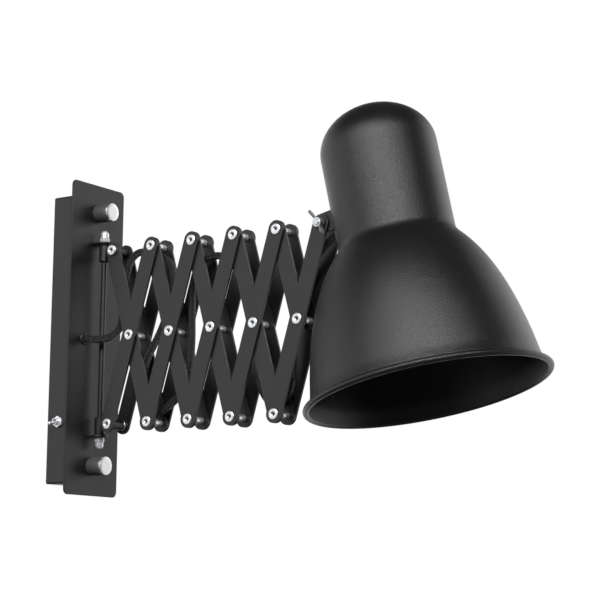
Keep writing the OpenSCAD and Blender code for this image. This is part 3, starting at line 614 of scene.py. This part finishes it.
def makeEars():
    f = rod
    half = f["earW"] / 2
    front, back = arm["rodY"] - half, plate["back"] + f["earT"]
    ears = []
    for s, z in ((1, topEar), (-1, lowEar)):
        low, high = sorted((z, z + s * f["earT"]))
        tongue = block("ear", (-half, front, low), (half, back, high))
        # at its free end only, and a hair short of closing
        roundCorners(tongue, 2, half - 0.01, segments=12, test=lambda middle: middle.y < front + 1)
        low, high = sorted((z, z + s * f["earFoot"]))
        foot = block("ear_foot", (-half, plate["back"], low), (half, back, high))
        ears += [soften(piece, f["earEdge"], angle=50) for piece in (tongue, foot)]
    mount(join("rod_ear_pair", *ears), "root", "rod_ears", blackPaint)


def makeAcorn():
    f = rod
    r, hexH = f["acornAf"] / math.cos(math.radians(30)) / 2, f["acornHex"]
    hexagon = turnedRings("acorn_hex", [(r - 0.5, 0), (r, 0.3), (r, hexH - 0.4), (r - 0.7, hexH)], steps=6)
    soften(hexagon, 0.2, angle=30)
    domeR = f["acornD"] / 2
    foot = f["acornH"] - domeR
    dome = [(domeR, hexH - 0.5), (domeR, foot)]
    for angle in range(12, 88, 12):
        q = math.radians(angle)
        dome.append((domeR * math.cos(q), foot + domeR * math.sin(q)))
    ball = turnedRings("acorn_dome", dome + [(0.25, f["acornH"])], steps=32)
    return join("acorn", hexagon, ball)


def makeAcorns():
    upper = makeAcorn()
    lower = again(upper, "acorn_low")
    settle(upper, (0, arm["rodY"], topEar + rod["earT"]))
    settle(lower, (0, arm["rodY"], lowEar - rod["earT"]), (180, 0, 0))
    mount(join("acorn_pair", upper, lower), "root", "acorn_nuts", chromePlate)


def makeRodWashers():
    f = rod
    bore, r = f["d"] / 2 + f["washerPlay"], f["washerD"] / 2
    rings = tubeRings(bore, r, 0, f["washerT"], edge=0.25, boreEdge=0.15)
    first = turnedRings("rod_washer", rings, loop=True)
    second = again(first, "rod_washer_low")
    settle(first, (0, arm["rodY"], topEar - f["washerT"]))
    settle(second, (0, arm["rodY"], lowEar))
    mount(join("rod_washer_pair", first, second), "root", "rod_washers", blackPlastic)


def makeSleeve(name, node, body, z):
    # an upright sleeve on the rod, a cross barrel for the rivet, and the web between them
    f = rod
    r, h, web = f["sleeveD"] / 2, f["sleeveH"] / 2, f["web"] / 2
    barrelY = arm["rodY"] - arm["first"]
    rings = tubeRings(f["d"] / 2 + f["sleevePlay"], r, -h, h, f["sleeveEdge"], boreEdge=0.2)
    upright = settle(turnedRings("upright", rings, loop=True), (0, arm["rodY"], z))
    l, rim = arm["inner"] - f["barrelPlay"], r - f["sleeveEdge"]
    barrel = turnedRings("barrel", [(rim, -l), (r, -l + f["sleeveEdge"]), (r, l - f["sleeveEdge"]), (rim, l)])
    settle(barrel, (0, barrelY, z), (0, 90, 0))
    bridge = block("web", (-web, barrelY, z - web), (web, arm["rodY"] - r + f["webInto"], z + web))
    soften(bridge, f["webEdge"], segments=3)
    mount(join(name, upright, barrel, bridge), body, node, blackPaint)


makeRod()
makeEars()
makeAcorns()
makeRodWashers()
makeSleeve("lower_sleeve_body", "lower_sleeve", "lower_swivel", lowZ)
makeSleeve("upper_sleeve_body", "upper_sleeve", "upper_slider", topZ)
print("wall side made")


# scissor links: one long and one half bar, copied to every place
def makeBar(name, length):
    half = arm["width"] / 2
    piece = block(name, (0, -half, -half), (arm["thick"], half, length + half))
    roundCorners(piece, along=0, radius=half - 0.004, segments=14)  # a hair short of closing
    return soften(piece, arm["edge"], segments=3, angle=50)


def makeLinks():
    longBar = makeBar("long_bar", arm["pitch"])
    halfBar = makeBar("half_bar", arm["pitch"] / 2)
    for i in range(arm["cells"]):
        last = i == arm["cells"] - 1
        for side, name in ((-1, "front"), (1, "rear")):
            x = arm["outer"] if side > 0 else -arm["outer"] - arm["thick"]
            bar = again(longBar, "rise_link_%s_%d" % (name, i))
            settle(bar, (x, pivotY(i), lowZ), (arm["angle"], 0, 0))
            mount(bar, "rise_%d" % i, "rise_%s_%d" % (name, i), blackPaint)
            x = arm["inner"] if side > 0 else -arm["inner"] - arm["thick"]
            foot = (x, pivotY(i + 0.5), arm["middle"]) if last else (x, pivotY(i + 1), lowZ)
            bar = again(halfBar if last else longBar, "fall_link_%s_%d" % (name, i))
            settle(bar, foot, (-arm["angle"], 0, 0))
            mount(bar, "fall_%d" % i, "fall_%s_%d" % (name, i), blackPaint)
    bpy.data.objects.remove(longBar)
    bpy.data.objects.remove(halfBar)


makeLinks()

# hollow rivets with spacer tubes
rivetFacts = {"shank": 2.5, "bore": 1.3, "head": 4.7, "headT": 0.9, "funnel": 2.2, "spacer": 3.25,
              "spacerL": 7.4, "play": 0.02, "edge": 0.25}


def makeRivet(packing=None):
    # along x; packing is where a washer starts on each side, in place of the link that is missing there
    f = rivetFacts
    x, head, t = arm["rivetAt"], f["head"], f["headT"]
    half = [(f["shank"], x), (head - f["edge"], x), (head, x + 0.2), (head - 0.1, x + 0.5),
            (head - 0.6, x + 0.78), (head - 1.3, x + t), (f["funnel"] + 0.25, x + t),
            (f["funnel"], x + t - 0.06), (f["bore"] + 0.3, x + t - 0.55), (f["bore"], x + t - 0.9)]
    pieces = [turnedRings("rivet", half + [(r, -h) for r, h in reversed(half)], loop=True)]
    if packing:
        for side in (-1, 1):
            low, high = sorted((side * packing, side * (packing + arm["thick"])))
            rings = tubeRings(f["shank"] + f["play"], head, low, high, f["edge"])
            pieces.append(turnedRings("packing", rings, loop=True))
    return settle(join("rivet", *pieces), (0, 0, 0), (0, 90, 0))


def makeSpacer():
    f = rivetFacts
    rings = tubeRings(f["shank"] + f["play"], f["spacer"], -f["spacerL"], f["spacerL"], f["edge"])
    return settle(turnedRings("spacer", rings, loop=True), (0, 0, 0), (0, 90, 0))


def makePins():
    rivet, spacer = makeRivet(), makeSpacer()
    for i in range(arm["cells"]):
        spots = [] if i == 0 else [(pivotY(i), topZ)]
        spots += [(pivotY(i + 0.5), arm["middle"])]
        spots += [] if i == arm["cells"] - 1 else [(pivotY(i + 1), lowZ)]
        for model, name, finish in ((rivet, "rivet", nickelPlate), (spacer, "spacer", spacerZinc)):
            group = []
            for k, (y, z) in enumerate(spots):
                group.append(settle(again(model, "%s_%d_%d" % (name, i, k)), (0, y, z)))
            pins = join("%ss_%d" % (name, i), *group)
            mount(pins, "fall_%d" % i, "fall_pins_%d" % i, finish)
    bpy.data.objects.remove(rivet)
    bpy.data.objects.remove(spacer)
    for name, node, body, packing, z in (
            ("rivet_bottom", "bottom_rivet", "lower_swivel", arm["inner"], lowZ),
            ("rivet_top", "top_rivet", "upper_slider", arm["outer"], topZ)):
        piece = settle(makeRivet(packing), (0, pivotY(0), z))
        piece.name = name
        mount(piece, body, node, nickelPlate)


makePins()
print("arm made")

# shade: one profile of rings from the dome down the bell, round the rolled rim and back up inside
shade = {"r": 100.0, "h": 245.0, "neck": 48.0, "crease": 126.0, "dome": 38.5, "bolt": 162.8, "boltGap": 12.6,
         "t": 1.0, "bead": 2.6, "beadAngles": range(148, -173, -20), "flareR": 91.9, "flareH": 15.0,
         "topAngle": 44.4, "topShare": 0.322, "lowAngle": 8.5, "lowShare": 0.376, "fillet": 5.0, "steps": 128,
         "domeAngles": (89.4, 86, 82, 78, 73, 68, 63, 58, 52, 46, 40, 34, 28, 22, 16, 10, 5, 0),
         "neckRings": (170, 150), "bellRings": 28, "filletRings": 7, "poleR": 0.35,
         "foot": ((92.5, 12.4), (93.3, 10.0), (94.3, 7.0), (95.0, 5.0))}


def shadeLine(inset):
    # the bell is a curve from a to d that leaves a towards b and arrives at d from c
    f = shade
    span = f["crease"] - f["flareH"]
    ta, la = math.radians(f["topAngle"]), math.radians(f["lowAngle"])
    a = Vector((f["neck"], f["crease"]))
    d = Vector((f["flareR"], f["flareH"]))
    b = a + span * f["topShare"] * Vector((math.cos(ta), -math.sin(ta)))
    c = d + span * f["lowShare"] * Vector((-math.sin(la), math.cos(la)))
    domeFoot = f["h"] - f["dome"]
    above = Vector((f["neck"], f["crease"] + f["fillet"]))
    line = []
    for angle in f["domeAngles"]:
        q = math.radians(angle)
        line.append(Vector((f["neck"] * math.cos(q), domeFoot + f["dome"] * math.sin(q))))
    line += [Vector((f["neck"], z)) for z in (domeFoot - 8, *f["neckRings"], above.y + 2)]
    bell = []
    for k in range(2, f["bellRings"] + 1):
        t = k / f["bellRings"]
        bell.append((1 - t) ** 3 * a + 3 * (1 - t) ** 2 * t * b + 3 * (1 - t) * t * t * c + t ** 3 * d)
    for k in range(f["filletRings"]):
        t = k / f["filletRings"]
        line.append((1 - t) ** 2 * above + 2 * t * (1 - t) * a + t * t * bell[0])
    line += bell + [Vector(p) for p in f["foot"]]
    # each point moves inwards, square to the line
    moved = []
    for k, p in enumerate(line):
        way = (line[min(k + 1, len(line) - 1)] - line[max(k - 1, 0)]).normalized()
        moved.append((max(p.x - inset * -way.y, f["poleR"]), p.y - inset * way.x))
    return moved


def makeShade():
    f = shade
    bead, middle = [], f["r"] - f["bead"]
    for angle in f["beadAngles"]:
        q = math.radians(angle)
        bead.append((middle + f["bead"] * math.cos(q), f["bead"] + f["bead"] * math.sin(q)))
    rings = shadeLine(0) + bead + shadeLine(f["t"])[::-1]
    piece = turnedRings("shade_shell", rings, f["steps"])
    smooth(piece, angle=40)
    settle(piece, (0, -(f["boltGap"] + f["neck"]), -f["bolt"]))
    settle(piece, headAt, (-headTilt, 0, 0))
    mount(piece, "head", "shade", shadePaint)


makeShade()
print("shade made")

# everything else keeps its solid's form: body, slot, finish and how far its edges are softened
keep = {
    "head_bracket": ("head", "black_paint", blackPaint, 0.3),
    "tilt_bolt": ("head", "zinc_steel", zincPlate, 0.2),
    "tilt_washers": ("head", "black_plastic", blackPlastic, 0.15),
    "wing_nut": ("wing", "zinc_steel", zincPlate, 0.25),
    "holder_strap": ("head", "zinc_steel", zincPlate, 0.2),
    "holder_nipple": ("head", "zinc_steel", zincPlate, 0.15),
    "head_screws": ("head", "zinc_steel", zincPlate, 0.2),
    "cable_bush": ("head", "black_plastic", blackPlastic, 0.25),
    "cable_grommet": ("root", "black_plastic", blackPlastic, 0.25),
    "holder_body": ("head", "white_plastic", whitePlastic, 0.5),
    "holder_thread": ("head", "brass", brassMetal, 0.1),
    "switch_body": ("root", "black_plastic", blackPlastic, 0.3),
    "switch_bush": ("root", "chrome", chromePlate, 0.15),
    "switch_nut": ("root", "chrome", chromePlate, 0.2),
    "switch_lever": ("switch", "chrome", chromePlate, 0.05),
    "wall_bracket": ("root", "zinc_steel", zincPlate, 0.3),
    "bracket_studs": ("root", "zinc_steel", zincPlate, 0.3),
    "terminal_block": ("root", "white_plastic", whitePlastic, 0.3),
    "terminal_screws": ("root", "brass", brassMetal, 0.2)}
for node, (body, slot, finish, width) in keep.items():
    mount(fromNode(node, width), body, node, finish)
print("small parts made")

# floor, world and lamps, in metres; what gloss mirrors is white all round behind the lamp, and dark
# behind the camera and above: the white's middle is an angle, edge and full are cosines from that middle,
# wallFull and wallTop are heights on a ball of 1, and near and far are distances on the floor
studio = {"floorSize": 24, "floorZ": -1.5, "pale": (0.84, 0.88), "grey": 0.16, "floorGlow": 0.45,
          "fadeFrom": 2.7, "fadeTo": 9.0, "background": 1.0, "wall": 1.05, "dark": 0.07,
          "wallTop": 0.62, "wallFull": 0.30, "middle": 146, "edge": -0.52, "full": -0.28, "fill": 0.05,
          "near": 2.2, "far": 4.4}
softBoxes = {"frontBox": {"at": (-1.63, -1.13, 1.14), "size": (3.1, 0.90), "power": 70},
             "leftBox": {"at": (-1.45, 0.92, 0.55), "size": (1.4, 0.9), "power": 0.6},
             "rightBox": {"at": (1.68, -0.75, 0.82), "size": (0.6, 1.1), "power": 2.8}}
softBoxAim = (0, -0.3, 0.05)
middle = (math.sin(math.radians(studio["middle"])), -math.cos(math.radians(studio["middle"])), 0)


def seenBy(finish, *kinds):
    # 1 for the named kinds of rays, 0 for the others
    share = 0.0
    for kind in kinds:
        share = share + finish.node("ShaderNodeLightPath", out=kind)
    return share.least(1.0)


def makeFloor():
    # the camera sees it pale, and white far out; mirror rays see it glow white behind the lamp and dark
    # elsewhere, light that the floor gives off though it is no lamp; to the other rays it is grey
    s = studio
    bpy.ops.object.select_all(action="DESELECT")
    bpy.ops.mesh.primitive_plane_add(size=s["floorSize"], location=(0, 0, s["floorZ"]))
    floor = bpy.context.object
    floor.name = "floor"
    f = Finish("floorPaint")
    spot = f.point()
    camRay = seenBy(f, "Is Camera Ray")
    mirrorRay = seenBy(f, "Is Glossy Ray", "Is Transmission Ray")
    reach = f.node("ShaderNodeVectorMath", {"operation": "LENGTH"}, {0: spot}, out=1)
    behind = f.node("ShaderNodeVectorMath", {"operation": "DOT_PRODUCT"}, {0: spot, 1: middle}, out=1)
    away = reach.between(s["fadeFrom"], s["fadeTo"])
    pale = f.blend(f.noise(spot, scale=1.0), *([grey] * 3 for grey in s["pale"]))
    f.link("Base Color", f.blend(camRay * (1 - away), [s["grey"]] * 3, pale))
    f.link("Roughness", 0.7)
    f.link("Emission Color", (1, 1, 1, 1))
    white = reach.between(s["near"], s["far"]) * (behind / reach).between(s["edge"], s["full"])
    mirrored = white * (s["wall"] - s["dark"]) + s["dark"]
    glow = away * (1 - s["floorGlow"]) + s["floorGlow"]
    f.link("Emission Strength", camRay * glow + mirrorRay * mirrored)
    floor.data.materials.append(f.material)


def makeWorld():
    s = studio
    world = bpy.data.worlds.new("studio")
    bpy.context.scene.world = world
    f = Finish("studio", world)
    way = f.node("ShaderNodeTexCoord", out="Generated")
    height = f.node("ShaderNodeSeparateXYZ", None, {0: way}, out=2)
    around = f.node("ShaderNodeVectorMath", {"operation": "DOT_PRODUCT"}, {0: way, 1: middle}, out=1)
    white = (1 - height.between(s["wallFull"], s["wallTop"])) * around.between(s["edge"], s["full"])
    mirrored = white * (s["wall"] - s["dark"]) + s["dark"]
    seen, glossy = seenBy(f, "Is Camera Ray", "Is Transmission Ray"), seenBy(f, "Is Glossy Ray")
    f.link("Color", (1, 1, 1, 1))
    unseen = glossy * mirrored + (1 - glossy) * s["fill"]
    f.link("Strength", seen * s["background"] + (1 - seen) * unseen)


def softBox(name, at, size, power):
    lamp = bpy.data.lights.new(name, "AREA")
    lamp.shape, lamp.size, lamp.size_y, lamp.energy = "RECTANGLE", size[0], size[1], power
    holder = bpy.data.objects.new(name, lamp)
    bpy.context.scene.collection.objects.link(holder)
    holder.location = at
    holder.rotation_euler = (Vector(softBoxAim) - Vector(at)).to_track_quat("-Z", "Y").to_euler()


makeFloor()
makeWorld()
for name, facts in softBoxes.items():
    softBox(name, **facts)
bpy.context.scene.view_settings.view_transform = "Standard"

print("scene done")
